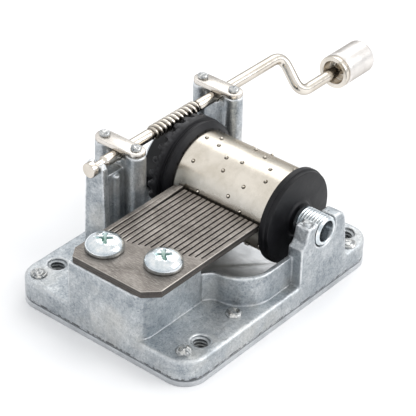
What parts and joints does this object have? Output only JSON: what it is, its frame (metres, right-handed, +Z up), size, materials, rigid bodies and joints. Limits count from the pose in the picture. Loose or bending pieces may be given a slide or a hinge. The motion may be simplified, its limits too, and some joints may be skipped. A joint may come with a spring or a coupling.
{
  "type": "hand crank music box movement",
  "caption": "Bare hand-cranked music movement: die-cast frame with a tuned comb, a pinned drum driven by worm and crown gear, and a cranked shaft with a spinning knob.",
  "frame": {"origin": "centre of the flat underside of the bottom plate", "axes": "+X along the drum from its gear to its plain end; +Y along the comb's teeth towards the drum and along the crank shaft towards the handle; +Z up"},
  "size_m": [0.0357, 0.0768, 0.0225],
  "materials": {
    "zinc_casting": "as cast, tumbled",
    "sheet_steel": "dull plated",
    "comb_steel": "tempered, fine ground",
    "zinc_plating": "bright zinc plate",
    "nickel_plating": "satin nickel",
    "drum_nickel": "bright nickel",
    "black_plastic": "moulded, semi-gloss",
    "plain_steel": "turned",
    "crank_nickel": "bright nickel",
    "knob_nickel": "satin nickel, turned",
    "lead": "cast",
    "rivet_metal": "peened"
  },
  "bodies": {
    "frame": {"cast_frame": "zinc_casting", "bottom_plate": "sheet_steel", "base_rivet_front_left": "rivet_metal", "base_rivet_front_right": "rivet_metal", "base_rivet_middle_right": "rivet_metal", "base_rivet_rear_right": "rivet_metal", "comb": "comb_steel", "lead_weight_1": "lead", "lead_weight_2": "lead", "lead_weight_3": "lead", "lead_weight_4": "lead", "lead_weight_5": "lead", "comb_screw_left": "zinc_plating", "comb_screw_right": "zinc_plating", "threaded_bushing": "zinc_plating", "cap_plate_front": "nickel_plating", "cap_plate_rear": "nickel_plating", "cap_rivet_front_outer": "rivet_metal", "cap_rivet_front_inner": "rivet_metal", "cap_rivet_rear_outer": "rivet_metal", "cap_rivet_rear_inner": "rivet_metal"},
    "drum": {"drum_tube": "drum_nickel", "gear_cap": "black_plastic", "end_disc": "black_plastic", "drum_axle": "plain_steel"},
    "crank": {"crank_shaft": "crank_nickel"},
    "knob": {"knob_collar": "crank_nickel", "knob_shell": "knob_nickel"}
  },
  "joints": [
    {"name": "crank_spin", "type": "hinge", "parent": "frame", "child": "crank", "pos_m": [-0.01265, 0, 0.0201], "axis": [0, 1, 0], "continuous": true},
    {"name": "drum_spin", "type": "hinge", "parent": "frame", "child": "drum", "pos_m": [0, 0.0094, 0.0123], "axis": [1, 0, 0], "continuous": true},
    {"name": "knob_spin", "type": "hinge", "parent": "crank", "child": "knob", "pos_m": [-0.00835, 0.0457, 0.0144], "axis": [0, 1, 0], "continuous": true}
  ],
  "couplings": [
    {"joint": "drum_spin", "follows": "crank_spin", "ratio": 0.041667}
  ]
}
